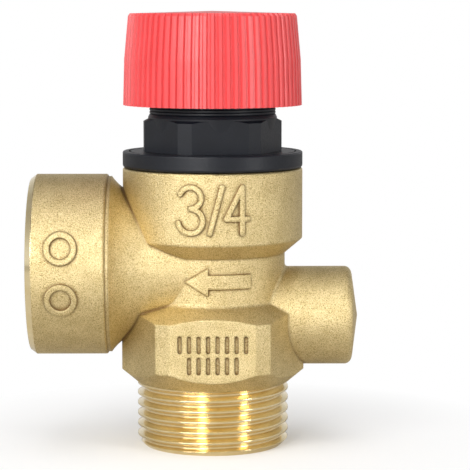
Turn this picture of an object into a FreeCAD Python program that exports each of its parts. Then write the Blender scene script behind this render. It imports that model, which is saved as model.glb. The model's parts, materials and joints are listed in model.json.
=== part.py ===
"""Pressure relief valve with a lifting knob, in millimetres.

The valve's axis is Z and the inlet's end face lies on Z = 0. The outlet opens
towards -X, the closed side boss points along +X and the front faces -Y.
"""

import FreeCAD, Part

import math
import os

from FreeCAD import Vector

# --- Pipe threads, both G 3/4 -------------------------------------------------
THREAD_RADIUS = 13.2205
THREAD_PITCH = 1.814
THREAD_DEPTH = 1.162
THREAD_FLAT = 0.302
THREAD_HALF_ANGLE = 27.5
THREAD_OVERCUT = 0.1
WALL_ARCS = 12
TOUCHING = 0.001
THROUGH = 1.0

# --- Inlet and seat -----------------------------------------------------------
INLET_THREAD_LENGTH = 11.3
INLET_END_CHAMFER = 1.12
INLET_FIRST_GROOVE = 1.37
INLET_EMBEDDED = 1.0
INLET_BORE_RADIUS = 9.6
SEAT_CONE_DROP = 6.8
SEAT_RADIUS = 6.5
SEAT_LIP_WIDTH = 0.9
SEAT_LIP_HEIGHT = 0.9
NOZZLE_WALL = 1.8
NOZZLE_HEIGHT = 4.2

# --- Spanner hexagon ----------------------------------------------------------
HEX_SHOULDER = 2.9
HEX_HEIGHT = 14.37
HEX_CORNER_CUT = 0.83
HEX_SIDE_CORNER_CUT = 2.1
HEX_FACE_MARGIN = 0.18
HEX_LOW_SLOPE = 0.85
HEX_TOP_SLOPE = 0.594

# --- Neck, boss and chamber ---------------------------------------------------
CHAMBER_GAP = 1.2
CHAMBER_FLOOR_DROP = 6.9
NECK_WALL = 1.7
NECK_FILLET = 1.0
LEDGE_WIDTH = 2.0
BOSS_WALL = 2.75
BOSS_ABOVE_LEDGE = 6.2
BOSS_HEIGHT = 12.2
BOSS_UNDERCUT_HEIGHT = 2.6
BOSS_EDGE = 0.35
THREADED_JOINT_CLEARANCE = 0.05

# --- Outlet -------------------------------------------------------------------
OUTLET_LEVEL = 31.7
OUTLET_REACH = 31.6
PASSAGE_RADIUS = 9.0
PASSAGE_WALL = 2.87
PASSAGE_ROOF = 1.7
SOCKET_DEPTH = 12.3
SOCKET_WALL = 2.51
SLEEVE_WALL = 0.84
SOCKET_FACE_CHAMFER = (0.75, 1.0)
SOCKET_MOUTH_CHAMFER = 1.25
COLLAR_LENGTH = 13.4
COLLAR_EDGE = 0.35
COLLAR_GROOVE_WIDTH = 0.6
COLLAR_GROOVE_DEPTH = 0.4
FLARE_RADIUS = 8.0
FLARE_ANGLE = 55.8

# --- Closed side boss ---------------------------------------------------------
PORT_LEVEL = 22.6
PORT_RADIUS = 8.58
PORT_REACH = 24.1
PORT_EDGE = 1.2
PORT_TIP_ANGLE = 8.4
PORT_FILLET = 0.6

# --- Raised and stamped marks on the body -------------------------------------
RELIEF = 0.45
RELIEF_ROOT = 1.0
MARK_STROKE = 0.85
NUMERAL_HEIGHT = 8.6
NUMERAL_DROP = 6.1
THREE_CENTRE = -3.75
THREE_UPPER_BOWL = 1.8
SLASH_SPAN = (-0.5, 1.6)
FOUR_SPAN = (2.3, 6.0)
FOUR_UPRIGHT = 5.0
FOUR_BAR_SHARE = 0.28
ARROW_DROP = 1.7
ARROW_TIP = -4.8
ARROW_HEAD_BASE = -0.8
ARROW_TAIL = 6.5
ARROW_HEAD_HALF = 2.4
ARROW_SHAFT_HALF = 1.2
RING_MARK_INSET = 6.0
RING_MARK_RADIUS = 2.3
RING_MARK_OFFSET = 4.4
RING_MARK_STROKE = 0.95
STAMP_DEPTH = 0.35
STAMP_STROKE = 0.7
STAMP_HEIGHT = 2.3
STAMP_PITCH = 1.6
STAMP_ROWS = ((8.4, 8), (4.8, 6))

# --- Seal and its holder ------------------------------------------------------
SEAT_GAP = 0.05
SEAL_OVERLAP = 1.0
SEAL_THICKNESS = 2.6
HOLDER_WALL = 1.3
HOLDER_PLATE = 2.5
HOLDER_SKIRT = 1.6
TURNED_EDGE = 0.35
SEAL_WASHER_RADIUS = 4.5
SEAL_WASHER_THICKNESS = 1.0
SCREW_RADIUS = 1.5
SCREW_HEAD_RADIUS = 2.9
SCREW_HEAD_HEIGHT = 2.2
SCREW_SOCKET_ACROSS_FLATS = 2.5
SCREW_SOCKET_DEPTH = 1.4
SCREW_GRIP = 3.0
SCREW_HOLE_EXTRA = 0.6
BORE_CLEARANCE = 0.05

# --- Stem and diaphragm -------------------------------------------------------
STEM_RADIUS = 2.5
STEM_COLLAR_RADIUS = 4.2
STEM_COLLAR_HEIGHT = 1.3
STEM_THREAD_RADIUS = 2.0
STEM_FILLET = 0.5
SUPPORT_WASHER_RADIUS = 8.2
SUPPORT_WASHER_THICKNESS = 1.5
DIAPHRAGM_THICKNESS = 1.2
DIAPHRAGM_RIM_GAP = 0.1
SLIP_RING_THICKNESS = 0.8
PLATE_RIM = 0.5
PLATE_THICKNESS = 1.6
PLATE_HUB_GAP = 1.3
PLATE_HUB_HEIGHT = 2.2

# --- Spring -------------------------------------------------------------------
SPRING_WIRE = 2.2
SPRING_MEAN_RADIUS = 7.0
SPRING_HEIGHT = 15.9
SPRING_TURNS = 5.0
SPRING_SIDE_GAP = 1.1
SPRING_WASHER_THICKNESS = 0.8
SPRING_WASHER_GAP = 0.55
SPRING_END_TURNS = 1.0

# --- Adjusting ring and its bush ----------------------------------------------
RING_HEIGHT = 4.2
RING_CHAMFER = 0.5
BUSH_WALL = 1.6
BUSH_FLANGE = 1.2
BUSH_FLANGE_HEIGHT = 0.8
SPANNER_HOLES = 4
SPANNER_HOLE_RADIUS = 0.9
SPANNER_HOLE_DEPTH = 2.0

# --- Bonnet -------------------------------------------------------------------
BONNET_SEAM = 0.1
FLANGE_HEIGHT = 2.8
FLANGE_EDGE = 0.5
FLANGE_TOP_EDGE = 0.25
FLANGE_GROOVE_INSET = 1.05
FLANGE_GROOVE_WIDTH = 0.3
FLANGE_GROOVE_DEPTH = 0.25
BONNET_HEX_SHOULDER = 0.04
BONNET_HEX_HEIGHT = 5.9
BONNET_HEX_CORNER_CUT = 0.75
BONNET_HEX_CHAMFER = 0.35
BONNET_HEX_SLOPE = 0.5
BONNET_HEX_TURN = 6.8
TOWER_WALL = 1.76
TOWER_FLARE = 0.25
TOWER_GROOVE_WIDTH = 0.22
TOWER_GROOVE_DEPTH = 0.14
TOWER_GROOVE_PITCH = 0.5
TOWER_GROOVES = 3
RING_COVER = 0.1

# --- Cam between knob and bonnet ----------------------------------------------
CAM_LOBES = 3
KNOB_TURN = 85.0
STEM_LIFT = 2.6
RAMP_START = 8.0
RAMP_EXTRA_TURN = 2.0
RAMP_INSET = 0.2
LUG_HALF_ANGLE = 6.0
LUG_GAP = 0.15

# --- Knob ---------------------------------------------------------------------
KNOB_TO_HEX_GAP = 2.1
KNOB_TOWER_GAP = 1.34
KNOB_LOW_FLARE = 0.9
KNOB_BELLY_FLARE = 0.68
KNOB_TOP_DRAW = 0.32
KNOB_BELLY_SHARE = 0.5
KNOB_SHOULDER_DROP = 0.5
KNOB_DOME = 0.4
CROWN_INSET = 0.35
KNOB_RIBS = 72
RIB_DEPTH = 0.42
RIB_TOP_SHARE = 0.4
RIB_FOOT_SHARE = 0.28
KNOB_WALL = 1.9
KNOB_WEB_THICKNESS = 1.6
WEB_TO_RAMP_GAP = 0.75
RECESS_RADIUS = 9.0
LID_THICKNESS = 1.2
LID_FIT = 0.05
LID_ABOVE_NUT = 0.47
NUT_ACROSS_FLATS = 7.0
NUT_HEIGHT = 1.9
NUT_WASHER_RADIUS = 4.6
NUT_WASHER_THICKNESS = 0.6
WEB_PLAY = 0.05

# --- Radii that follow from the ones above ------------------------------------
minor_radius = THREAD_RADIUS - THREAD_DEPTH
nozzle_radius = SEAT_RADIUS + NOZZLE_WALL
seal_radius = SEAT_RADIUS + SEAT_LIP_WIDTH + SEAL_OVERLAP
holder_radius = seal_radius + HOLDER_WALL
chamber_radius = holder_radius + CHAMBER_GAP
neck_radius = chamber_radius + NECK_WALL
hex_across_flats = 2 * (neck_radius + HEX_SHOULDER)
hex_face_radius = THREAD_RADIUS + HEX_FACE_MARGIN
boss_bore_radius = chamber_radius + LEDGE_WIDTH
boss_radius = boss_bore_radius + BOSS_WALL
tube_radius = PASSAGE_RADIUS + PASSAGE_WALL
collar_radius = THREAD_RADIUS + SOCKET_WALL
sleeve_radius = THREAD_RADIUS + SLEEVE_WALL
spring_chamber_radius = SPRING_MEAN_RADIUS + SPRING_WIRE / 2 + SPRING_SIDE_GAP
stem_hole_radius = STEM_RADIUS + BORE_CLEARANCE
bush_radius = stem_hole_radius + BUSH_WALL
plate_radius = SPRING_MEAN_RADIUS + SPRING_WIRE / 2 + PLATE_RIM
plate_hub_radius = SPRING_MEAN_RADIUS - SPRING_WIRE / 2 - PLATE_HUB_GAP
tower_radius = spring_chamber_radius + TOWER_WALL
bonnet_hex_across_flats = 2 * (tower_radius + BONNET_HEX_SHOULDER)
knob_shoulder_radius = tower_radius + KNOB_TOWER_GAP + KNOB_WALL + RIB_DEPTH
knob_low_radius = knob_shoulder_radius + KNOB_LOW_FLARE
knob_belly_radius = knob_shoulder_radius + KNOB_BELLY_FLARE
knob_top_radius = knob_shoulder_radius - KNOB_TOP_DRAW

# --- Levels, from the inlet's end face upwards --------------------------------
hex_low = INLET_THREAD_LENGTH
hex_top = hex_low + HEX_HEIGHT
ledge_level = OUTLET_LEVEL + PASSAGE_RADIUS + PASSAGE_ROOF
slip_ring_level = ledge_level + DIAPHRAGM_THICKNESS
skirt_level = slip_ring_level + SLIP_RING_THICKNESS
boss_top = ledge_level + BOSS_ABOVE_LEDGE
boss_low = boss_top - BOSS_HEIGHT
chamber_floor = OUTLET_LEVEL - CHAMBER_FLOOR_DROP
inlet_bore_top = chamber_floor - SEAT_CONE_DROP
seat_level = chamber_floor + NOZZLE_HEIGHT
seal_level = seat_level + SEAT_GAP
holder_plate_level = seal_level + SEAL_THICKNESS
stem_level = holder_plate_level + HOLDER_PLATE
support_washer_level = ledge_level - SUPPORT_WASHER_THICKNESS
plate_top = slip_ring_level + PLATE_THICKNESS
spring_top = plate_top + SPRING_HEIGHT
ring_level = spring_top + SPRING_WASHER_THICKNESS
numeral_level = boss_top - NUMERAL_DROP
arrow_level = OUTLET_LEVEL - ARROW_DROP
flange_level = boss_top + BONNET_SEAM
bonnet_hex_level = flange_level + FLANGE_HEIGHT
bonnet_hex_top = bonnet_hex_level + BONNET_HEX_HEIGHT
ramp_level = ring_level + RING_HEIGHT + RING_COVER
knob_low = bonnet_hex_top + KNOB_TO_HEX_GAP
ramp_height = STEM_LIFT * (KNOB_TURN + RAMP_EXTRA_TURN) / KNOB_TURN
web_low = ramp_level + ramp_height + WEB_TO_RAMP_GAP
web_top = web_low + KNOB_WEB_THICKNESS
nut_washer_level = web_top + WEB_PLAY
nut_level = nut_washer_level + NUT_WASHER_THICKNESS
lid_level = nut_level + NUT_HEIGHT + LID_ABOVE_NUT
crown_radius = knob_top_radius - RIB_DEPTH - CROWN_INSET
lid_rim_level = lid_level + LID_THICKNESS
knob_rim_level = lid_rim_level - KNOB_DOME * (1 - RECESS_RADIUS / crown_radius)
knob_top = knob_rim_level + KNOB_DOME


# --- Shape helpers ------------------------------------------------------------
def on_circle(radius, degrees, level=0.0):
    """Point at an angle from +X on a level circle."""
    angle = math.radians(degrees)
    return Vector(radius * math.cos(angle), radius * math.sin(angle), level)


def rounded_outline(corners):
    """Closed wire in the XZ plane through (x, z) corners, or (x, z, fillet radius)."""
    points = [Vector(corner[0], 0, corner[1]) for corner in corners]
    radii = [corner[2] if len(corner) > 2 else 0.0 for corner in corners]
    starts, ends, arcs = [], [], []
    for index, point in enumerate(points):
        before = (points[index - 1] - point).normalize()
        after = (points[(index + 1) % len(points)] - point).normalize()
        half = before.getAngle(after) / 2
        setback = radii[index] / math.tan(half)
        starts.append(point + before * setback)
        ends.append(point + after * setback)
        if radii[index]:
            bisector = (before + after).normalize()
            middle = point + bisector * (radii[index] / math.sin(half) - radii[index])
            arcs.append(Part.Arc(starts[-1], middle, ends[-1]).toShape())
        else:
            arcs.append(None)
    edges = []
    for index, arc in enumerate(arcs):
        if arc:
            edges.append(arc)
        following = starts[(index + 1) % len(starts)]
        if ends[index].distanceToPoint(following) > TOUCHING:
            edges.append(Part.LineSegment(ends[index], following).toShape())
    return Part.Wire(edges)


def turned(*corners):
    """Solid turned about Z from (radius, level) corners."""
    face = Part.Face(rounded_outline(corners))
    return face.revolve(Vector(), Vector(0, 0, 1), 360)


def ring(inner, outer, low, high):
    """Plain ring, or a disc when the inner radius is zero."""
    return turned((inner, low), (outer, low), (outer, high), (inner, high))


def rod(radius, low, high):
    """Plain cylinder about Z."""
    return ring(0, radius, low, high)


def prism(points, low, high):
    """Upright prism on a polygon of points."""
    base = Part.Face(Part.makePolygon(points + points[:1]))
    base.translate(Vector(0, 0, low - points[0].z))
    return base.extrude(Vector(0, 0, high - low))


def hexagon(across_flats, low, high, first_flat=-90.0):
    """Hexagonal prism with one flat facing the given direction."""
    corner_radius = across_flats / 2 / math.cos(math.radians(30))
    corners = [on_circle(corner_radius, first_flat + 30 + 60 * step) for step in range(6)]
    return prism(corners, low, high)


def with_cut_corners(across_flats, corner_cut, low, high, first_flat=-90.0):
    """Hexagonal prism whose corners are cut back flat by the given amount."""
    corner_radius = across_flats / 2 / math.cos(math.radians(30))
    cutter_width = 2 * (corner_radius - corner_cut)
    plain = hexagon(across_flats, low, high, first_flat)
    return plain.common(hexagon(cutter_width, low, high, first_flat + 30))


def arc_cylinder(radius, low, high):
    """Cylinder whose wall is made of equal arcs."""
    step = 360 / WALL_ARCS
    arcs = []
    for index in range(WALL_ARCS):
        start = on_circle(radius, step * index, low)
        middle = on_circle(radius, step * (index + 0.5), low)
        end = on_circle(radius, step * (index + 1), low)
        arcs.append(Part.Arc(start, middle, end).toShape())
    return Part.Face(Part.Wire(arcs)).extrude(Vector(0, 0, high - low))


def screw_sweep(inner, outer, inner_half, outer_half, rise):
    """Trapezoid between two radii, swept along the pipe thread's helix."""
    helix = Part.makeHelix(THREAD_PITCH, rise, THREAD_RADIUS)
    section = Part.makePolygon(
        [
            Vector(inner, 0, -inner_half),
            Vector(outer, 0, -outer_half),
            Vector(outer, 0, outer_half),
            Vector(inner, 0, inner_half),
            Vector(inner, 0, -inner_half),
        ]
    )
    return Part.Wire(helix.Edges).makePipeShell([section], True, True)


def with_thread(blank, inner, outer, inner_half, outer_half, low, high):
    """Blank with a helical groove cut half a turn at a time."""
    level = low
    direction = 0
    while level < high:
        rise = min(THREAD_PITCH / 2, high - level)
        groove = screw_sweep(inner, outer, inner_half, outer_half, rise)
        groove.rotate(Vector(), Vector(0, 0, 1), direction)
        groove.translate(Vector(0, 0, level))
        blank = blank.cut(groove)
        level += rise
        direction += 180
    return blank


def thread_half_widths():
    """Half widths of a thread groove at its root and just past its mouth."""
    slope = math.tan(math.radians(THREAD_HALF_ANGLE))
    root_half = THREAD_FLAT / 2
    return root_half, root_half + (THREAD_DEPTH + THREAD_OVERCUT) * slope


def towards_outlet(shape):
    """Lay a shape made about Z along -X at the outlet's level."""
    shape.rotate(Vector(), Vector(0, 1, 0), -90)
    shape.translate(Vector(0, 0, OUTLET_LEVEL))
    return shape


def towards_port(shape):
    """Lay a shape made about Z along +X at the side boss's level."""
    shape.rotate(Vector(), Vector(0, 1, 0), 90)
    shape.translate(Vector(0, 0, PORT_LEVEL))
    return shape


# --- Marks on the body --------------------------------------------------------
def mark_plate(points):
    """Plate facing the front, on (x, z) points, deep enough to pass any wall."""
    outline = Part.makePolygon([Vector(x, 0, z) for x, z in points + points[:1]])
    return Part.Face(outline).extrude(Vector(0, -2 * boss_radius, 0))


def dot(centre, width):
    """Round spot about an (x, z) centre."""
    return Part.makeCylinder(
        width / 2, 2 * boss_radius, Vector(centre[0], 0, centre[1]), Vector(0, -1, 0)
    )


def stroke(start, end, width):
    """Straight stroke with round ends between two (x, z) points."""
    run = Vector(end[0] - start[0], end[1] - start[1], 0)
    side = Vector(-run.y, run.x, 0).normalize() * (width / 2)
    bar = mark_plate(
        [
            (start[0] + side.x, start[1] + side.y),
            (end[0] + side.x, end[1] + side.y),
            (end[0] - side.x, end[1] - side.y),
            (start[0] - side.x, start[1] - side.y),
        ]
    )
    return bar.multiFuse([dot(start, width), dot(end, width)])


def bow(centre, radius, width, first, last):
    """Round stroke about an (x, z) centre, from one angle to another."""
    place = Vector(centre[0], 0, centre[1])
    arcs = []
    for reach in (radius - width / 2, radius + width / 2):
        points = []
        for angle in (first, (first + last) / 2, last):
            spot = on_circle(reach, angle)
            points.append(place + Vector(spot.x, 0, spot.y))
        arcs.append(Part.Arc(*points))
    inner, outer = arcs
    edges = [
        inner.toShape(),
        Part.LineSegment(inner.EndPoint, outer.EndPoint).toShape(),
        outer.toShape(),
        Part.LineSegment(outer.StartPoint, inner.StartPoint).toShape(),
    ]
    outline = Part.Wire(Part.__sortEdges__(edges))
    ends = []
    for angle in (first, last):
        spot = on_circle(radius, angle)
        ends.append(dot((centre[0] + spot.x, centre[1] + spot.y), width))
    band = Part.Face(outline).extrude(Vector(0, -2 * boss_radius, 0))
    return band.multiFuse(ends)


def size_numerals():
    """The pipe size, three over four, as raised strokes on the boss."""
    low = numeral_level - (NUMERAL_HEIGHT - MARK_STROKE) / 2
    high = numeral_level + (NUMERAL_HEIGHT - MARK_STROKE) / 2
    upper = THREE_UPPER_BOWL
    lower = (high - low) / 2 - upper
    bar = low + NUMERAL_HEIGHT * FOUR_BAR_SHARE
    strokes = [
        bow((THREE_CENTRE, high - upper), upper, MARK_STROKE, -90, 160),
        bow((THREE_CENTRE, low + lower), lower, MARK_STROKE, -170, 90),
        stroke((SLASH_SPAN[0], low), (SLASH_SPAN[1], high), MARK_STROKE),
        stroke((FOUR_UPRIGHT, low), (FOUR_UPRIGHT, high), MARK_STROKE),
        stroke((FOUR_SPAN[0], bar), (FOUR_SPAN[1], bar), MARK_STROKE),
        stroke((FOUR_SPAN[0], bar), (FOUR_UPRIGHT, high), MARK_STROKE),
    ]
    raised = ring(boss_radius - RELIEF_ROOT, boss_radius + RELIEF, low - THROUGH, high + THROUGH)
    return strokes[0].multiFuse(strokes[1:]).common(raised)


def flow_arrow():
    """Raised arrow that points at the outlet."""
    outline = mark_plate(
        [
            (ARROW_TIP, arrow_level),
            (ARROW_HEAD_BASE, arrow_level - ARROW_HEAD_HALF),
            (ARROW_HEAD_BASE, arrow_level - ARROW_SHAFT_HALF),
            (ARROW_TAIL, arrow_level - ARROW_SHAFT_HALF),
            (ARROW_TAIL, arrow_level + ARROW_SHAFT_HALF),
            (ARROW_HEAD_BASE, arrow_level + ARROW_SHAFT_HALF),
            (ARROW_HEAD_BASE, arrow_level + ARROW_HEAD_HALF),
        ]
    )
    around_neck = rod(neck_radius + RELIEF, hex_top, boss_low)
    around_tube = towards_outlet(rod(tube_radius + RELIEF, 0, neck_radius))
    hollow = rod(chamber_radius + RELIEF, hex_top, boss_low)
    return outline.common(around_neck.fuse(around_tube)).cut(hollow)


def ring_marks():
    """Two raised rings on the outlet collar."""
    rings = []
    for offset in (-RING_MARK_OFFSET, RING_MARK_OFFSET):
        centre = (RING_MARK_INSET - OUTLET_REACH, OUTLET_LEVEL + offset)
        for half in (0, 180):
            rings.append(bow(centre, RING_MARK_RADIUS, RING_MARK_STROKE, half, half + 180))
    shell = rod(collar_radius + RELIEF, 0, OUTLET_REACH)
    shell = shell.cut(rod(collar_radius - RELIEF_ROOT, 0, OUTLET_REACH))
    return rings[0].multiFuse(rings[1:]).common(towards_outlet(shell))


def stamped_rows():
    """Two rows of short strokes to sink into the hexagon's front flat."""
    strokes = []
    for rise, count in STAMP_ROWS:
        for index in range(count):
            x = (index - (count - 1) / 2) * STAMP_PITCH
            low = (x, hex_low + rise - STAMP_HEIGHT / 2)
            high = (x, hex_low + rise + STAMP_HEIGHT / 2)
            strokes.append(stroke(low, high, STAMP_STROKE))
    front = hex_across_flats / 2
    corner = Vector(-front, -front - THROUGH, 0)
    kept = Part.makeBox(2 * front, THROUGH + STAMP_DEPTH, hex_top, corner)
    return strokes[0].multiFuse(strokes[1:]).common(kept)


# --- Valve body ---------------------------------------------------------------
def body_hexagon():
    """Cast hexagon with cut corners, chamfered towards thread and neck."""
    half = hex_across_flats / 2
    reach = half / math.cos(math.radians(30))
    limit = reach - HEX_SIDE_CORNER_CUT
    blank = with_cut_corners(hex_across_flats, HEX_CORNER_CUT, hex_low, hex_top)
    side_limit = Part.makeBox(2 * limit, 4 * half, hex_top, Vector(-limit, -2 * half, 0))
    low_rise = (reach - hex_face_radius) * HEX_LOW_SLOPE
    top_fall = (reach - neck_radius) * HEX_TOP_SLOPE
    envelope = turned(
        (0, hex_low),
        (hex_face_radius, hex_low),
        (reach, hex_low + low_rise),
        (reach, hex_top - top_fall),
        (neck_radius, hex_top),
        (0, hex_top),
    )
    return blank.common(side_limit).common(envelope)


def body_column():
    """Neck with a filleted foot and the bonnet boss above it."""
    foot = neck_radius + 2 * NECK_FILLET
    return turned(
        (0, hex_low + HEX_HEIGHT / 2),
        (foot, hex_low + HEX_HEIGHT / 2),
        (foot, hex_top - 2 * NECK_FILLET * HEX_TOP_SLOPE),
        (neck_radius, hex_top, NECK_FILLET),
        (neck_radius, boss_low - BOSS_UNDERCUT_HEIGHT),
        (boss_radius, boss_low, BOSS_EDGE),
        (boss_radius, boss_top, BOSS_EDGE),
        (0, boss_top),
    )


def threaded_sleeve():
    """Wall of the outlet socket with its tapped bore and mouth chamfer."""
    bottom = OUTLET_REACH - SOCKET_DEPTH
    past = OUTLET_REACH + THROUGH
    mouth_start = OUTLET_REACH - SOCKET_MOUTH_CHAMFER
    mouth = turned(
        (0, mouth_start),
        (minor_radius, mouth_start),
        (minor_radius + past - mouth_start, past),
        (0, past),
    )
    sleeve = rod(sleeve_radius, bottom, OUTLET_REACH)
    sleeve = sleeve.cut(arc_cylinder(minor_radius, bottom, past).fuse(mouth))
    root_half, mouth_half = thread_half_widths()
    return with_thread(
        sleeve,
        minor_radius - THREAD_OVERCUT,
        THREAD_RADIUS,
        mouth_half,
        root_half,
        bottom + THREAD_PITCH,
        OUTLET_REACH + THREAD_PITCH / 2,
    )


def outlet_branch():
    """Outside of the outlet tube, its flare and its collar."""
    face = OUTLET_REACH
    back = face - COLLAR_LENGTH
    groove_end = back - COLLAR_GROOVE_WIDTH
    groove_radius = collar_radius - COLLAR_GROOVE_DEPTH
    flare_run = (groove_radius - tube_radius) / math.tan(math.radians(FLARE_ANGLE))
    chamfer_in, chamfer_along = SOCKET_FACE_CHAMFER
    return towards_outlet(
        turned(
            (0, 0),
            (tube_radius, 0),
            (tube_radius, groove_end - flare_run, FLARE_RADIUS),
            (groove_radius, groove_end),
            (groove_radius, back),
            (collar_radius, back, COLLAR_EDGE),
            (collar_radius, face - chamfer_along),
            (collar_radius - chamfer_in, face),
            (0, face),
        )
    )


def port_outside():
    """Closed side boss with a rounded rim and a shallow cone on its end."""
    tip = PORT_REACH + PORT_RADIUS * math.tan(math.radians(PORT_TIP_ANGLE))
    return towards_port(
        turned((0, 0), (PORT_RADIUS, 0), (PORT_RADIUS, PORT_REACH, PORT_EDGE), (0, tip))
    )


def inlet_spigot():
    """Threaded inlet, rising a little into the hexagon."""
    length = INLET_THREAD_LENGTH
    blank = arc_cylinder(THREAD_RADIUS, 0, length + INLET_EMBEDDED)
    small = THREAD_RADIUS - INLET_END_CHAMFER
    reach = length + 2 * INLET_EMBEDDED
    blank = blank.common(
        turned((0, 0), (small, 0), (small + reach, reach), (0, reach))
    )
    root_half, mouth_half = thread_half_widths()
    return with_thread(
        blank,
        minor_radius,
        THREAD_RADIUS + THREAD_OVERCUT,
        root_half,
        mouth_half,
        INLET_FIRST_GROOVE + THREAD_PITCH / 4 - 2 * THREAD_PITCH,
        length + THREAD_PITCH,
    )


def flow_passages():
    """Inlet bore, seat bore, chamber around the nozzle, and outlet passage."""
    cone = INLET_BORE_RADIUS - SEAT_RADIUS
    inlet = turned(
        (0, -THROUGH),
        (INLET_BORE_RADIUS, -THROUGH),
        (INLET_BORE_RADIUS, inlet_bore_top),
        (SEAT_RADIUS, inlet_bore_top + cone),
        (SEAT_RADIUS, seat_level + THROUGH),
        (0, seat_level + THROUGH),
    )
    lip_foot = seat_level - SEAT_LIP_HEIGHT
    chamber = turned(
        (nozzle_radius, chamber_floor),
        (chamber_radius, chamber_floor),
        (chamber_radius, ledge_level),
        (boss_bore_radius, ledge_level),
        (boss_bore_radius, boss_top + THROUGH),
        (0, boss_top + THROUGH),
        (0, seat_level),
        (SEAT_RADIUS + SEAT_LIP_WIDTH, seat_level),
        (nozzle_radius, lip_foot),
    )
    mouth = OUTLET_REACH - SOCKET_DEPTH
    passage_end = (chamber_radius + nozzle_radius) / 2
    passage = towards_outlet(rod(PASSAGE_RADIUS, passage_end, mouth + THROUGH))
    return inlet.fuse(chamber).fuse(passage)


def meeting_edges(whole, first, second):
    """Edges of the whole that lie on the skins of both solids."""
    found = []
    for edge in whole.Edges:
        middle = edge.valueAt((edge.FirstParameter + edge.LastParameter) / 2)
        point = Part.Vertex(middle)
        gaps = [point.distToShape(solid.Shells[0])[0] for solid in (first, second)]
        if max(gaps) < TOUCHING:
            found.append(edge)
    return found


def cast_outside():
    """Column, hexagon, outlet and side boss as one casting, filleted at the side boss."""
    column = body_column()
    port = port_outside()
    casting = column.multiFuse([body_hexagon(), outlet_branch(), port])
    return casting.makeFillet(PORT_FILLET, meeting_edges(casting, column, port))


def valve_body():
    """Cast and machined brass body."""
    marks = [size_numerals(), flow_arrow(), ring_marks()]
    solid = cast_outside().multiFuse(marks + [inlet_spigot()])
    solid = solid.cut(stamped_rows()).cut(flow_passages())
    pocket = rod(sleeve_radius, OUTLET_REACH - SOCKET_DEPTH, OUTLET_REACH + THROUGH)
    return solid.cut(towards_outlet(pocket)).fuse(towards_outlet(threaded_sleeve()))


# --- Lifting parts ------------------------------------------------------------
def seal_disc():
    """Rubber disc on the seat."""
    hole = SCREW_RADIUS + BORE_CLEARANCE
    return ring(hole, seal_radius, seal_level, holder_plate_level)


def disc_holder():
    """Brass cup that carries the seal and guides it above the seat."""
    hole = SCREW_RADIUS + BORE_CLEARANCE
    skirt_low = holder_plate_level - HOLDER_SKIRT
    return turned(
        (hole, holder_plate_level),
        (seal_radius, holder_plate_level),
        (seal_radius, skirt_low),
        (holder_radius, skirt_low),
        (holder_radius, stem_level, TURNED_EDGE),
        (hole, stem_level),
    )


def seal_washer():
    """Washer that spreads the screw's load over the seal."""
    low = seal_level - SEAL_WASHER_THICKNESS
    return ring(SCREW_RADIUS + BORE_CLEARANCE, SEAL_WASHER_RADIUS, low, seal_level)


def seal_screw():
    """Socket-head screw from below, through washer, seal and holder, into the stem."""
    head_top = seal_level - SEAL_WASHER_THICKNESS
    head_low = head_top - SCREW_HEAD_HEIGHT
    screw = turned(
        (0, head_low),
        (SCREW_HEAD_RADIUS, head_low),
        (SCREW_HEAD_RADIUS, head_top),
        (SCREW_RADIUS, head_top),
        (SCREW_RADIUS, stem_level + SCREW_GRIP),
        (0, stem_level + SCREW_GRIP),
    )
    socket_top = head_low + SCREW_SOCKET_DEPTH
    return screw.cut(hexagon(SCREW_SOCKET_ACROSS_FLATS, head_low, socket_top))


def stem():
    """Turned stem from the disc holder up to the lock nut."""
    collar_top = support_washer_level
    collar_low = collar_top - STEM_COLLAR_HEIGHT
    hole_top = stem_level + SCREW_GRIP + SCREW_HOLE_EXTRA
    return turned(
        (SCREW_RADIUS, stem_level),
        (STEM_COLLAR_RADIUS, stem_level),
        (STEM_COLLAR_RADIUS, stem_level + STEM_COLLAR_HEIGHT),
        (STEM_RADIUS, stem_level + STEM_COLLAR_HEIGHT, STEM_FILLET),
        (STEM_RADIUS, collar_low, STEM_FILLET),
        (STEM_COLLAR_RADIUS, collar_low),
        (STEM_COLLAR_RADIUS, collar_top),
        (STEM_RADIUS, collar_top),
        (STEM_RADIUS, nut_washer_level),
        (STEM_THREAD_RADIUS, nut_washer_level),
        (STEM_THREAD_RADIUS, nut_level + NUT_HEIGHT),
        (0, nut_level + NUT_HEIGHT),
        (0, hole_top),
        (SCREW_RADIUS, hole_top),
    )


def support_washer():
    """Washer below the diaphragm, on the stem's upper collar."""
    return ring(stem_hole_radius, SUPPORT_WASHER_RADIUS, support_washer_level, ledge_level)


def spring_plate():
    """Lower spring seat with a hub that centres the spring."""
    return turned(
        (stem_hole_radius, slip_ring_level),
        (plate_radius, slip_ring_level),
        (plate_radius, plate_top, TURNED_EDGE),
        (plate_hub_radius, plate_top),
        (plate_hub_radius, plate_top + PLATE_HUB_HEIGHT, TURNED_EDGE),
        (stem_hole_radius, plate_top + PLATE_HUB_HEIGHT),
    )


def knob_washer():
    """Washer between the lock nut and the knob's web."""
    hole = STEM_THREAD_RADIUS + BORE_CLEARANCE
    return ring(hole, NUT_WASHER_RADIUS, nut_washer_level, nut_level)


def knob_nut():
    """Lock nut on the stem's end."""
    blank = hexagon(NUT_ACROSS_FLATS, nut_level, nut_level + NUT_HEIGHT)
    return blank.cut(rod(STEM_THREAD_RADIUS, nut_level, nut_level + NUT_HEIGHT))


# --- Fixed inner parts --------------------------------------------------------
def diaphragm():
    """Flat moulded diaphragm clamped at its rim."""
    rim = boss_bore_radius - DIAPHRAGM_RIM_GAP
    return ring(stem_hole_radius, rim, ledge_level, slip_ring_level)


def slip_ring():
    """Ring that lets the bonnet turn on the diaphragm without dragging it."""
    rim = boss_bore_radius - DIAPHRAGM_RIM_GAP
    return ring(spring_chamber_radius, rim, slip_ring_level, skirt_level)


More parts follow.
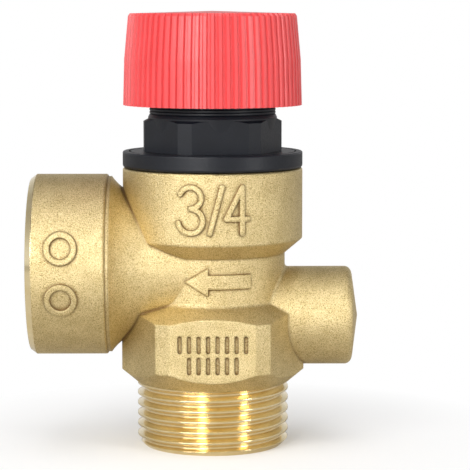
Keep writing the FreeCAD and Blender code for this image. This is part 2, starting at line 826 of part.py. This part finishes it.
def spring():
    """Compression spring with closed, flat-ground ends."""
    wire = SPRING_WIRE / 2
    low = plate_top
    pitch = (SPRING_HEIGHT - 2 * SPRING_WIRE) / (SPRING_TURNS - 2 * SPRING_END_TURNS)
    coil = Part.makeLongHelix(pitch, SPRING_HEIGHT - 2 * SPRING_WIRE, SPRING_MEAN_RADIUS)
    coil.translate(Vector(0, 0, low + SPRING_WIRE))
    circle = Part.makeCircle(
        wire, Vector(SPRING_MEAN_RADIUS, 0, low + SPRING_WIRE), Vector(0, 1, 0)
    )
    body = Part.Wire(coil.Edges).makePipeShell([Part.Wire(circle)], True, True)
    loops = [
        Part.makeTorus(SPRING_MEAN_RADIUS, wire, Vector(0, 0, level))
        for level in (low + wire, low + SPRING_HEIGHT - wire)
    ]
    return body.multiFuse(loops)


def spring_washer():
    """Hardened washer between spring and adjusting ring."""
    inner = bush_radius + SPRING_WASHER_GAP
    outer = spring_chamber_radius - SPRING_WASHER_GAP
    return ring(inner, outer, spring_top, ring_level)


def adjusting_ring():
    """Ring screwed into the bonnet to set the spring, with four spanner holes."""
    outer = spring_chamber_radius - THREADED_JOINT_CLEARANCE
    top = ring_level + RING_HEIGHT
    blank = turned(
        (bush_radius, ring_level),
        (outer, ring_level),
        (outer, top - RING_CHAMFER),
        (outer - RING_CHAMFER, top),
        (bush_radius, top),
    )
    hole_circle = (bush_radius + BUSH_FLANGE + outer) / 2
    holes = []
    for index in range(SPANNER_HOLES):
        hole = rod(SPANNER_HOLE_RADIUS, top - SPANNER_HOLE_DEPTH, top)
        hole.translate(on_circle(hole_circle, 360 * index / SPANNER_HOLES))
        holes.append(hole)
    return blank.cut(holes[0].multiFuse(holes[1:]))


def guide_bush():
    """Bush that guides the stem in the adjusting ring."""
    top = ring_level + RING_HEIGHT
    flange = bush_radius + BUSH_FLANGE
    return turned(
        (stem_hole_radius, ring_level),
        (bush_radius, ring_level),
        (bush_radius, top),
        (flange, top),
        (flange, top + BUSH_FLANGE_HEIGHT),
        (stem_hole_radius, top + BUSH_FLANGE_HEIGHT),
    )


# --- Bonnet and knob ----------------------------------------------------------
def cam_ramp(start):
    """One helical ramp on top of the bonnet's tower."""
    turn = KNOB_TURN + RAMP_EXTRA_TURN
    pitch = ramp_height * 360 / turn
    inner = spring_chamber_radius + RAMP_INSET
    outer = tower_radius - RAMP_INSET
    helix = Part.makeHelix(pitch, ramp_height, (inner + outer) / 2)
    section = Part.makePolygon(
        [
            Vector(inner, 0, -ramp_height),
            Vector(outer, 0, -ramp_height),
            Vector(outer, 0, 0),
            Vector(inner, 0, 0),
            Vector(inner, 0, -ramp_height),
        ]
    )
    ramp = Part.Wire(helix.Edges).makePipeShell([section], True, True)
    ramp.rotate(Vector(), Vector(0, 0, 1), start)
    ramp.translate(Vector(0, 0, ramp_level))
    return ramp


def tower_outline():
    """Half outline of the tower between hexagon and cam, with its fine grooves."""
    corners = [(tower_radius + TOWER_FLARE, bonnet_hex_top)]
    for index in range(TOWER_GROOVES):
        low = bonnet_hex_top + TOWER_GROOVE_PITCH * (index + 1)
        corners.append((tower_radius, low))
        corners.append((tower_radius - TOWER_GROOVE_DEPTH, low + TOWER_GROOVE_WIDTH / 2))
        corners.append((tower_radius, low + TOWER_GROOVE_WIDTH))
    corners.append((tower_radius, ramp_level))
    return corners


def bonnet():
    """Plastic bonnet: skirt, flange, hexagon and the tower that carries the cam."""
    skirt_radius = boss_bore_radius - THREADED_JOINT_CLEARANCE
    groove_outer = boss_radius - FLANGE_GROOVE_INSET
    groove_inner = groove_outer - FLANGE_GROOVE_WIDTH
    groove_floor = bonnet_hex_level - FLANGE_GROOVE_DEPTH
    shell = turned(
        (spring_chamber_radius, skirt_level),
        (skirt_radius, skirt_level),
        (skirt_radius, flange_level),
        (boss_radius, flange_level, FLANGE_EDGE),
        (boss_radius, bonnet_hex_level, FLANGE_TOP_EDGE),
        (groove_outer, bonnet_hex_level),
        (groove_outer, groove_floor),
        (groove_inner, groove_floor),
        (groove_inner, bonnet_hex_level),
        (bonnet_hex_across_flats / 2 - BONNET_HEX_CHAMFER, bonnet_hex_level),
        *tower_outline(),
        (spring_chamber_radius, ramp_level),
    )
    hexagon_part = with_cut_corners(
        bonnet_hex_across_flats,
        BONNET_HEX_CORNER_CUT,
        bonnet_hex_level,
        bonnet_hex_top,
        BONNET_HEX_TURN - 90,
    )
    reach = bonnet_hex_across_flats / 2 / math.cos(math.radians(30))
    bevel = reach - bonnet_hex_across_flats / 2 + BONNET_HEX_CHAMFER
    envelope = turned(
        (0, bonnet_hex_level),
        (reach, bonnet_hex_level),
        (reach, bonnet_hex_top - bevel * BONNET_HEX_SLOPE),
        (reach - bevel, bonnet_hex_top),
        (0, bonnet_hex_top),
    )
    hexagon_part = hexagon_part.common(envelope)
    hexagon_part = hexagon_part.cut(
        rod(spring_chamber_radius, bonnet_hex_level, bonnet_hex_top)
    )
    ramps = [
        cam_ramp(RAMP_START + 360 * index / CAM_LOBES) for index in range(CAM_LOBES)
    ]
    return shell.multiFuse([hexagon_part] + ramps)


def ribbed_section(radius, level):
    """Closed outline of the ribbed knob at one level."""
    step = 360 / KNOB_RIBS
    points = []
    for index in range(KNOB_RIBS):
        middle = step * index
        points.append(on_circle(radius, middle - step * RIB_TOP_SHARE / 2, level))
        points.append(on_circle(radius, middle + step * RIB_TOP_SHARE / 2, level))
        valley = middle + step / 2
        points.append(on_circle(radius - RIB_DEPTH, valley - step * RIB_FOOT_SHARE / 2, level))
        points.append(on_circle(radius - RIB_DEPTH, valley + step * RIB_FOOT_SHARE / 2, level))
    return Part.makePolygon(points + points[:1])


def cam_lug(direction):
    """Rib under the knob's web that rides on a ramp."""
    low = ramp_level + LUG_GAP
    inner = spring_chamber_radius + RAMP_INSET
    outer = tower_radius - RAMP_INSET
    half = LUG_HALF_ANGLE
    return prism(
        [
            on_circle(inner, direction - half),
            on_circle(outer, direction - half),
            on_circle(outer / math.cos(math.radians(half)), direction),
            on_circle(outer, direction + half),
            on_circle(inner, direction + half),
        ],
        low,
        web_low + KNOB_WEB_THICKNESS / 2,
    )


def knob():
    """Ribbed lifting knob with a web that hangs on the stem's nut."""
    height = knob_rim_level - knob_low
    levels = [
        (knob_low_radius, knob_low),
        (knob_belly_radius, knob_low + height * KNOB_BELLY_SHARE),
        (knob_shoulder_radius, knob_rim_level - KNOB_SHOULDER_DROP),
        (knob_top_radius, knob_rim_level),
    ]
    sections = [ribbed_section(radius, level) for radius, level in levels]
    outside = Part.makeLoft(sections, True, True)
    crown = turned(
        (0, knob_rim_level - THROUGH),
        (crown_radius, knob_rim_level - THROUGH),
        (crown_radius, knob_rim_level),
        (0, knob_top),
    )
    hollow_low = knob_low_radius - RIB_DEPTH - KNOB_WALL
    hollow_top = knob_shoulder_radius - RIB_DEPTH - KNOB_WALL
    hollow = turned(
        (0, knob_low - THROUGH),
        (hollow_low, knob_low - THROUGH),
        (hollow_top, web_low),
        (0, web_low),
    )
    recess = rod(RECESS_RADIUS, web_top, knob_top + THROUGH)
    stem_hole = rod(stem_hole_radius, web_low - THROUGH, web_top + THROUGH)
    solid = outside.fuse(crown).cut(hollow.multiFuse([recess, stem_hole]))
    lugs = [cam_lug(360 * index / CAM_LOBES) for index in range(CAM_LOBES)]
    return solid.multiFuse(lugs)


def knob_lid():
    """Flush disc that closes the knob's recess."""
    radius = RECESS_RADIUS - LID_FIT
    return turned((0, lid_level), (radius, lid_level), (radius, lid_rim_level), (0, knob_top))


PIECES = {
    "valve_body": valve_body,
    "bonnet": bonnet,
    "slip_ring": slip_ring,
    "diaphragm": diaphragm,
    "adjusting_ring": adjusting_ring,
    "guide_bush": guide_bush,
    "spring_washer": spring_washer,
    "spring": spring,
    "spring_plate": spring_plate,
    "support_washer": support_washer,
    "stem": stem,
    "disc_holder": disc_holder,
    "seal_disc": seal_disc,
    "seal_washer": seal_washer,
    "seal_screw": seal_screw,
    "knob_washer": knob_washer,
    "knob_nut": knob_nut,
    "knob": knob,
    "knob_lid": knob_lid,
}

os.makedirs("parts", exist_ok=True)
for name, make in PIECES.items():
    piece = make()
    piece.exportStep(f"parts/{name}.step")
    print(name, piece.isValid(), len(piece.Solids), round(piece.Volume, 1))
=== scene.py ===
"""Looks of the pressure relief valve: materials, studio and camera. Lengths are in metres."""

import json
import math

import bpy
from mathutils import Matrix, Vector


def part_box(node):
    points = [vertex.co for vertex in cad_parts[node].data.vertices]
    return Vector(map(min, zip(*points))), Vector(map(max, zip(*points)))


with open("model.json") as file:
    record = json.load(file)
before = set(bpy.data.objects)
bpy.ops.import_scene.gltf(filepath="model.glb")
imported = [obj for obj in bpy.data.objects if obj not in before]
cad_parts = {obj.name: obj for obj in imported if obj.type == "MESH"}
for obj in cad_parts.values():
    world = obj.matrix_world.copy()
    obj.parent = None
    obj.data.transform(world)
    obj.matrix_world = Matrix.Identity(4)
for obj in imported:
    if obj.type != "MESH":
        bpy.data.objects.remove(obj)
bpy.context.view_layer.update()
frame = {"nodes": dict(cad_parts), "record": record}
nodes = frame["nodes"]
mounts = {mount["name"]: mount for mount in frame["record"]["mounts"]}

MM = 0.001

# How far machining reaches past the mounts' threads, and in from the outlet's face
INLET_RUNOUT = 1.2 * MM
INLET_MARGIN = 0.1 * MM
SOCKET_RUNOUT = 1.3 * MM
SOCKET_MARGIN = 0.2 * MM
OUTLET_FACE_DEPTH = 1.05 * MM

# Rounding of the edges' look
MACHINED_EDGE = 0.22 * MM
CAST_EDGE = 0.50 * MM

# Studio and camera
FLOOR_HALF = 3.0
FLOOR_WHITE_AT = 0.06
LIGHT_TARGET = Vector((0.0, 0.0, 0.04))
SENSOR_WIDTH_MM = 36.0
FOCAL_LENGTH_MM = 154.1
NEAREST_SEEN = 0.01
CAMERA_PLACE = Vector((0.0, -0.350, 0.0752))
CAMERA_TARGET = Vector((0.0039, 0.0, 0.0367))


# --- Places that the materials need, read from the frame ----------------------
outlet_level = mounts["outlet"]["pos_m"][2]
thread_radius = mounts["inlet"]["dims"]["r_mm"] * MM
thread_top = mounts["inlet"]["dims"]["length_mm"] * MM + INLET_RUNOUT
outlet_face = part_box("valve_body")[0].x
socket_depth = mounts["outlet"]["dims"]["length_mm"] * MM + SOCKET_RUNOUT


# --- Colours ------------------------------------------------------------------
def colour(red, green, blue):
    return (red, green, blue, 1.0)


WHITE = colour(1.0, 1.0, 1.0)
BLACK = colour(0.0, 0.0, 0.0)

CAST_DULL = colour(0.56, 0.42, 0.17)
CAST_WARM = colour(0.70, 0.55, 0.26)
CAST_FLECK = colour(0.94, 0.82, 0.52)
CAST_PIT = colour(0.30, 0.20, 0.07)
# Painted shade laid into the inner corners of the cast brass
CAST_PAINTED_SHADE = colour(0.16, 0.075, 0.018)
CUT_DULL = colour(0.90, 0.74, 0.42)
CUT_BRIGHT = colour(0.98, 0.84, 0.54)
# Painted shade laid into the inner corners of the machined brass
CUT_PAINTED_SHADE = colour(0.45, 0.26, 0.08)

TURNED_DULL = colour(0.70, 0.47, 0.17)
TURNED_BRIGHT = colour(0.86, 0.64, 0.28)
ZINC_DULL = colour(0.46, 0.47, 0.50)
ZINC_BRIGHT = colour(0.68, 0.69, 0.72)
BLACK_DEEP = colour(0.003, 0.004, 0.007)
BLACK_PALE = colour(0.006, 0.008, 0.014)
RED_DEEP = colour(0.70, 0.062, 0.066)
RED_PALE = colour(0.77, 0.085, 0.090)
RUBBER_DEEP = colour(0.012, 0.012, 0.012)
RUBBER_BLOOM = colour(0.030, 0.030, 0.031)
ACETAL_DULL = colour(0.72, 0.71, 0.66)
ACETAL_MILKY = colour(0.82, 0.81, 0.77)

FLOOR_MIRRORED = colour(0.66, 0.64, 0.60)
SURROUND_LOW = colour(0.85, 0.85, 0.87)
SURROUND_MIDDLE = colour(0.62, 0.62, 0.62)
SURROUND_HIGH = colour(0.16, 0.15, 0.14)


# --- Node helpers -------------------------------------------------------------
class Shader:
    """A node material with short ways to add what every surface here needs."""

    def __init__(self, name):
        self.material = bpy.data.materials.new(name)
        self.material.use_nodes = True
        self.tree = self.material.node_tree
        self.tree.nodes.clear()
        self.surface = self.add("ShaderNodeBsdfPrincipled")
        output = self.add("ShaderNodeOutputMaterial")
        self.link(self.surface.outputs["BSDF"], output.inputs["Surface"])
        coordinates = self.add("ShaderNodeTexCoord")
        self.place = coordinates.outputs["Object"]
        self.normal = None

    def add(self, kind, **settings):
        node = self.tree.nodes.new(kind)
        for key, value in settings.items():
            setattr(node, key, value)
        return node

    def link(self, source, target):
        self.tree.links.new(source, target)

    def feed(self, socket, value):
        """Connect an output, or set a plain number or colour."""
        if isinstance(value, bpy.types.NodeSocket):
            self.link(value, socket)
        else:
            socket.default_value = value

    def set(self, **values):
        """Feed the surface's inputs by name, with _ for each space."""
        for key, value in values.items():
            self.feed(self.surface.inputs[key.replace("_", " ")], value)

    # Numbers
    def math(self, operation, first, second=0.0):
        node = self.add("ShaderNodeMath", operation=operation)
        self.feed(node.inputs[0], first)
        self.feed(node.inputs[1], second)
        return node.outputs[0]

    def distance(self, first, second):
        """Length of the diagonal over two sides."""
        squares = [self.math("MULTIPLY", side, side) for side in (first, second)]
        return self.math("SQRT", self.math("ADD", *squares))

    def below_both(self, first, first_limit, second, second_limit):
        """Mask of where both values are under their limits."""
        return self.math(
            "MULTIPLY",
            self.math("LESS_THAN", first, first_limit),
            self.math("LESS_THAN", second, second_limit),
        )

    def span(self, value, low, high, out_low=0.0, out_high=1.0):
        """Value carried from one range to another and held at its ends."""
        node = self.add("ShaderNodeMapRange")
        for socket, number in zip(node.inputs, (value, low, high, out_low, out_high)):
            self.feed(socket, number)
        return node.outputs["Result"]

    def blend(self, factor, first, second):
        """Colour between two."""
        node = self.add("ShaderNodeMix", data_type="RGBA")
        self.feed(node.inputs["Factor"], factor)
        self.feed(node.inputs["A"], first)
        self.feed(node.inputs["B"], second)
        return node.outputs["Result"]

    # Patterns
    def axes(self):
        """X, Y and Z of the place on the object."""
        node = self.add("ShaderNodeSeparateXYZ")
        self.link(self.place, node.inputs[0])
        return node.outputs

    def noise(self, size, detail=2.0, roughness=0.5, where=None):
        """Noise from 0 to 1 with features of about the given size."""
        node = self.add("ShaderNodeTexNoise")
        self.link(where or self.place, node.inputs["Vector"])
        node.inputs["Scale"].default_value = 1 / size
        node.inputs["Detail"].default_value = detail
        node.inputs["Roughness"].default_value = roughness
        return node.outputs["Fac"]

    def tool_marks(self, size):
        """Noise drawn out level, as the marks of turning about an upright axis."""
        stretch = self.add("ShaderNodeMapping")
        self.link(self.place, stretch.inputs["Vector"])
        stretch.inputs["Scale"].default_value = (0.02, 0.02, 1.0)
        return self.noise(size, detail=1.0, where=stretch.outputs["Vector"])

    def grains(self, size):
        """Distance to the nearest grain of the given size, about 0 to 1."""
        node = self.add("ShaderNodeTexVoronoi")
        self.link(self.place, node.inputs["Vector"])
        node.inputs["Scale"].default_value = 1 / size
        return node.outputs["Distance"]

    def painted_crease_shade(self, reach, low, high):
        """Mask of painted shade in the inner corners, from ambient occlusion."""
        node = self.add("ShaderNodeAmbientOcclusion", samples=8, only_local=True)
        node.inputs["Distance"].default_value = reach
        return self.span(node.outputs["AO"], low, high, 1.0, 0.0)

    # Relief
    def soften(self, radius):
        """Round the look of sharp edges by about the given radius; later bumps lie on this."""
        node = self.add("ShaderNodeBevel", samples=6)
        self.feed(node.inputs["Radius"], radius)
        self.normal = node.outputs["Normal"]

    def bump(self, height, depth, strength=1.0):
        """Add a bump of the given depth on top of those before it."""
        node = self.add("ShaderNodeBump")
        node.inputs["Strength"].default_value = strength
        node.inputs["Distance"].default_value = depth
        self.feed(node.inputs["Height"], height)
        if self.normal:
            self.link(self.normal, node.inputs["Normal"])
        self.normal = node.outputs["Normal"]
        self.link(self.normal, self.surface.inputs["Normal"])


# --- Materials ----------------------------------------------------------------
def machined_masks(shader):
    """Mask of the inlet's thread, and mask of both threads and the outlet's face."""
    x, y, z = shader.axes()
    from_axis = shader.distance(x, y)
    from_branch = shader.distance(y, shader.math("SUBTRACT", z, outlet_level))
    on_inlet = shader.below_both(z, thread_top, from_axis, thread_radius + INLET_MARGIN)
    in_socket = shader.below_both(
        x, outlet_face + socket_depth, from_branch, thread_radius + SOCKET_MARGIN
    )
    on_face = shader.math("LESS_THAN", x, outlet_face + OUTLET_FACE_DEPTH)
    threads = shader.math("MAXIMUM", on_inlet, in_socket)
    return on_inlet, shader.math("MAXIMUM", threads, on_face)


def cast_brass():
    """Blasted cast brass, bright where it is machined, with painted shade in the inner corners."""
    shader = Shader("cast_brass")
    on_inlet, machined = machined_masks(shader)
    blasted = shader.math("SUBTRACT", 1.0, machined)

    patches = shader.noise(3.0 * MM, detail=4.0, roughness=0.6)
    grain = shader.noise(0.16 * MM, detail=2.0, roughness=0.6)
    pits = shader.grains(0.34 * MM)
    # Painted shade: ambient occlusion darkens the inner corners of both finishes
    painted_crease_shade = shader.painted_crease_shade(0.7 * MM, 0.50, 0.97)
    fleck = shader.math("MULTIPLY", shader.span(grain, 0.35, 0.68), 0.6)
    hollow = shader.span(grain, 0.48, 0.32, 0.0, 0.8)

    cast = shader.blend(shader.span(patches, 0.35, 0.65), CAST_DULL, CAST_WARM)
    cast = shader.blend(fleck, cast, CAST_FLECK)
    cast = shader.blend(hollow, cast, CAST_PIT)
    # Paint shade into the cast brass's inner corners
    cast = shader.blend(shader.math("MULTIPLY", painted_crease_shade, 0.8), cast, CAST_PAINTED_SHADE)
    cut = shader.blend(shader.span(patches, 0.3, 0.7), CUT_DULL, CUT_BRIGHT)
    # Paint fainter shade into the machined brass's inner corners
    cut = shader.blend(shader.math("MULTIPLY", painted_crease_shade, 0.25), cut, CUT_PAINTED_SHADE)

    cast_roughness = shader.span(grain, 0.3, 0.7, 0.52, 0.36)
    cut_roughness = shader.span(patches, 0.3, 0.7, 0.13, 0.22)
    shader.set(
        Base_Color=shader.blend(machined, cast, cut),
        Metallic=1.0,
        Roughness=shader.span(machined, 0.0, 1.0, cast_roughness, cut_roughness),
    )
    shader.soften(shader.span(blasted, 0.0, 1.0, MACHINED_EDGE, CAST_EDGE))
    shader.bump(shader.math("MULTIPLY", grain, blasted), 0.12 * MM, 0.9)
    shader.bump(shader.math("MULTIPLY", pits, blasted), 0.07 * MM, 0.35)
    turning = shader.tool_marks(0.12 * MM)
    shader.bump(shader.math("MULTIPLY", turning, on_inlet), 0.01 * MM, 0.5)
    return shader.material


def turned_brass():
    """Bright turned brass with fine tool marks."""
    shader = Shader("turned_brass")
    patches = shader.noise(2.0 * MM, detail=3.0)
    marks = shader.tool_marks(0.15 * MM)
    shader.set(
        Base_Color=shader.blend(patches, TURNED_DULL, TURNED_BRIGHT),
        Metallic=1.0,
        Roughness=shader.span(marks, 0.3, 0.7, 0.18, 0.32),
    )
    shader.bump(marks, 0.02 * MM, 0.5)
    return shader.material


def plated_steel():
    """Zinc-plated steel with a faint cloudy sheen."""
    shader = Shader("spring_steel")
    clouds = shader.noise(1.5 * MM, detail=4.0)
    marks = shader.noise(0.1 * MM, detail=2.0)
    shader.set(
        Base_Color=shader.blend(clouds, ZINC_DULL, ZINC_BRIGHT),
        Metallic=1.0,
        Roughness=shader.span(clouds, 0.3, 0.7, 0.24, 0.38),
    )
    shader.bump(marks, 0.015 * MM, 0.4)
    return shader.material


def black_plastic():
    """Moulded black plastic: satin, faintly blue, with a fine spark-eroded grain."""
    shader = Shader("black_plastic")
    grain = shader.noise(0.25 * MM, detail=3.0, roughness=0.6)
    patches = shader.noise(4.0 * MM, detail=3.0)
    shader.set(
        Base_Color=shader.blend(patches, BLACK_DEEP, BLACK_PALE),
        Roughness=shader.span(grain, 0.3, 0.7, 0.36, 0.52),
        IOR=1.42,
    )
    shader.bump(grain, 0.03 * MM, 0.45)
    return shader.material


def red_plastic():
    """Moulded coral red plastic, slightly translucent, with a soft gloss."""
    shader = Shader("red_plastic")
    grain = shader.noise(0.3 * MM, detail=3.0, roughness=0.6)
    patches = shader.noise(5.0 * MM, detail=3.0)
    shader.set(
        Base_Color=shader.blend(patches, RED_DEEP, RED_PALE),
        Roughness=shader.span(grain, 0.3, 0.7, 0.30, 0.42),
        Subsurface_Weight=0.12,
        Subsurface_Radius=(1.0, 0.25, 0.15),
        Subsurface_Scale=0.8 * MM,
    )
    shader.bump(grain, 0.02 * MM, 0.35)
    return shader.material


def black_rubber():
    """Matt moulded rubber with a powdery bloom."""
    shader = Shader("rubber")
    bloom = shader.noise(1.2 * MM, detail=4.0)
    grain = shader.noise(0.15 * MM, detail=2.0)
    shader.set(
        Base_Color=shader.blend(bloom, RUBBER_DEEP, RUBBER_BLOOM),
        Roughness=shader.span(bloom, 0.3, 0.7, 0.62, 0.8),
    )
    shader.bump(grain, 0.03 * MM, 0.4)
    return shader.material


def white_plastic():
    """Natural acetal: milky and waxy."""
    shader = Shader("white_plastic")
    clouds = shader.noise(2.0 * MM, detail=3.0)
    shader.set(
        Base_Color=shader.blend(clouds, ACETAL_DULL, ACETAL_MILKY),
        Roughness=shader.span(clouds, 0.3, 0.7, 0.35, 0.45),
        Subsurface_Weight=0.2,
        Subsurface_Scale=0.5 * MM,
    )
    shader.bump(shader.noise(0.2 * MM), 0.02 * MM, 0.3)
    return shader.material


MATERIALS = {
    "cast_brass": cast_brass,
    "turned_brass": turned_brass,
    "spring_steel": plated_steel,
    "black_plastic": black_plastic,
    "red_plastic": red_plastic,
    "rubber": black_rubber,
    "white_plastic": white_plastic,
}


def dress_nodes():
    """Give every CAD node the material of its slot in the record."""
    made = {name: make() for name, make in MATERIALS.items()}
    for part in frame["record"]["subparts"]:
        mesh = nodes[part["node"]].data
        mesh.materials.clear()
        mesh.materials.append(made[part["material_slot"]])


# --- Studio -------------------------------------------------------------------
def show(name, data):
    """Put a light, camera or mesh into the scene."""
    thing = bpy.data.objects.new(name, data)
    bpy.context.scene.collection.objects.link(thing)
    return thing


def floor_material():
    """White to the camera and shaded only near the axis, but dimmer where the metal mirrors it."""
    shader = Shader("floor")
    seen = shader.add("ShaderNodeLightPath").outputs["Is Camera Ray"]
    tone = shader.blend(seen, FLOOR_MIRRORED, WHITE)
    x, y, z = shader.axes()
    far = shader.math("MULTIPLY", seen, shader.span(shader.distance(x, y), 0.0, FLOOR_WHITE_AT))
    shader.set(
        Base_Color=shader.blend(far, tone, BLACK),
        Roughness=0.9,
        Specular_IOR_Level=0.0,
        Emission_Color=WHITE,
        Emission_Strength=far,
    )
    shader.bump(shader.noise(1.5 * MM), 0.01 * MM, 0.1)
    return shader.material


def make_floor():
    """Level floor under the inlet's end."""
    mesh = bpy.data.meshes.new("floor")
    signs = [(-1, -1), (1, -1), (1, 1), (-1, 1)]
    corners = [(x * FLOOR_HALF, y * FLOOR_HALF, 0) for x, y in signs]
    mesh.from_pydata(corners, [], [(0, 1, 2, 3)])
    mesh.materials.append(floor_material())
    show("floor", mesh)


def soft_box(name, azimuth, elevation, distance, width, height, power):
    """Rectangular light around the object; azimuth 0 is the front, positive to the right."""
    turn, rise = math.radians(azimuth), math.radians(elevation)
    level = math.cos(rise)
    away = Vector((math.sin(turn) * level, -math.cos(turn) * level, math.sin(rise)))
    light = bpy.data.lights.new(name, "AREA")
    light.shape = "RECTANGLE"
    light.size = width
    light.size_y = height
    light.energy = power
    lamp = show(name, light)
    lamp.location = LIGHT_TARGET + away * distance
    lamp.rotation_euler = (-away).to_track_quat("-Z", "Y").to_euler()


def make_lights():
    """Two tall strips and a wide box in front of the object, and one above it."""
    soft_box("key", azimuth=-17, elevation=8, distance=0.55, width=0.09, height=0.40, power=1.1)
    soft_box("fill", azimuth=53, elevation=8, distance=0.55, width=0.09, height=0.40, power=1.1)
    soft_box("wide", azimuth=-35, elevation=25, distance=0.60, width=0.35, height=0.30, power=2.0)
    soft_box("top", azimuth=0, elevation=80, distance=0.60, width=0.40, height=0.40, power=1.2)


def make_surround():
    """Surround that darkens upwards, and that the camera sees as white."""
    world = bpy.data.worlds.new("studio")
    world.use_nodes = True
    tree = world.node_tree
    tree.nodes.clear()
    output = tree.nodes.new("ShaderNodeOutputWorld")
    background = tree.nodes.new("ShaderNodeBackground")
    direction = tree.nodes.new("ShaderNodeTexCoord")
    axes = tree.nodes.new("ShaderNodeSeparateXYZ")
    ramp = tree.nodes.new("ShaderNodeValToRGB")
    seen = tree.nodes.new("ShaderNodeLightPath")
    mix = tree.nodes.new("ShaderNodeMix")
    mix.data_type = "RGBA"
    low, high = ramp.color_ramp.elements
    low.position = 0.0
    low.color = SURROUND_LOW
    high.position = 0.75
    high.color = SURROUND_HIGH
    ramp.color_ramp.elements.new(0.30).color = SURROUND_MIDDLE
    mix.inputs["B"].default_value = WHITE
    tree.links.new(direction.outputs["Generated"], axes.inputs[0])
    tree.links.new(axes.outputs["Z"], ramp.inputs["Fac"])
    tree.links.new(seen.outputs["Is Camera Ray"], mix.inputs["Factor"])
    tree.links.new(ramp.outputs["Color"], mix.inputs["A"])
    tree.links.new(mix.outputs["Result"], background.inputs["Color"])
    tree.links.new(background.outputs[0], output.inputs["Surface"])
    bpy.context.scene.world = world


def make_camera():
    """Camera in front of the valve, level with the knob's top and looking slightly down."""
    data = bpy.data.cameras.new("camera")
    data.sensor_width = SENSOR_WIDTH_MM
    data.lens = FOCAL_LENGTH_MM
    data.clip_start = NEAREST_SEEN
    camera = show("camera", data)
    camera.location = CAMERA_PLACE
    camera.rotation_euler = (CAMERA_TARGET - CAMERA_PLACE).to_track_quat("-Z", "Y").to_euler()
    bpy.context.scene.camera = camera


dress_nodes()
make_floor()
make_lights()
make_surround()
make_camera()
bpy.context.scene.view_settings.view_transform = "Standard"
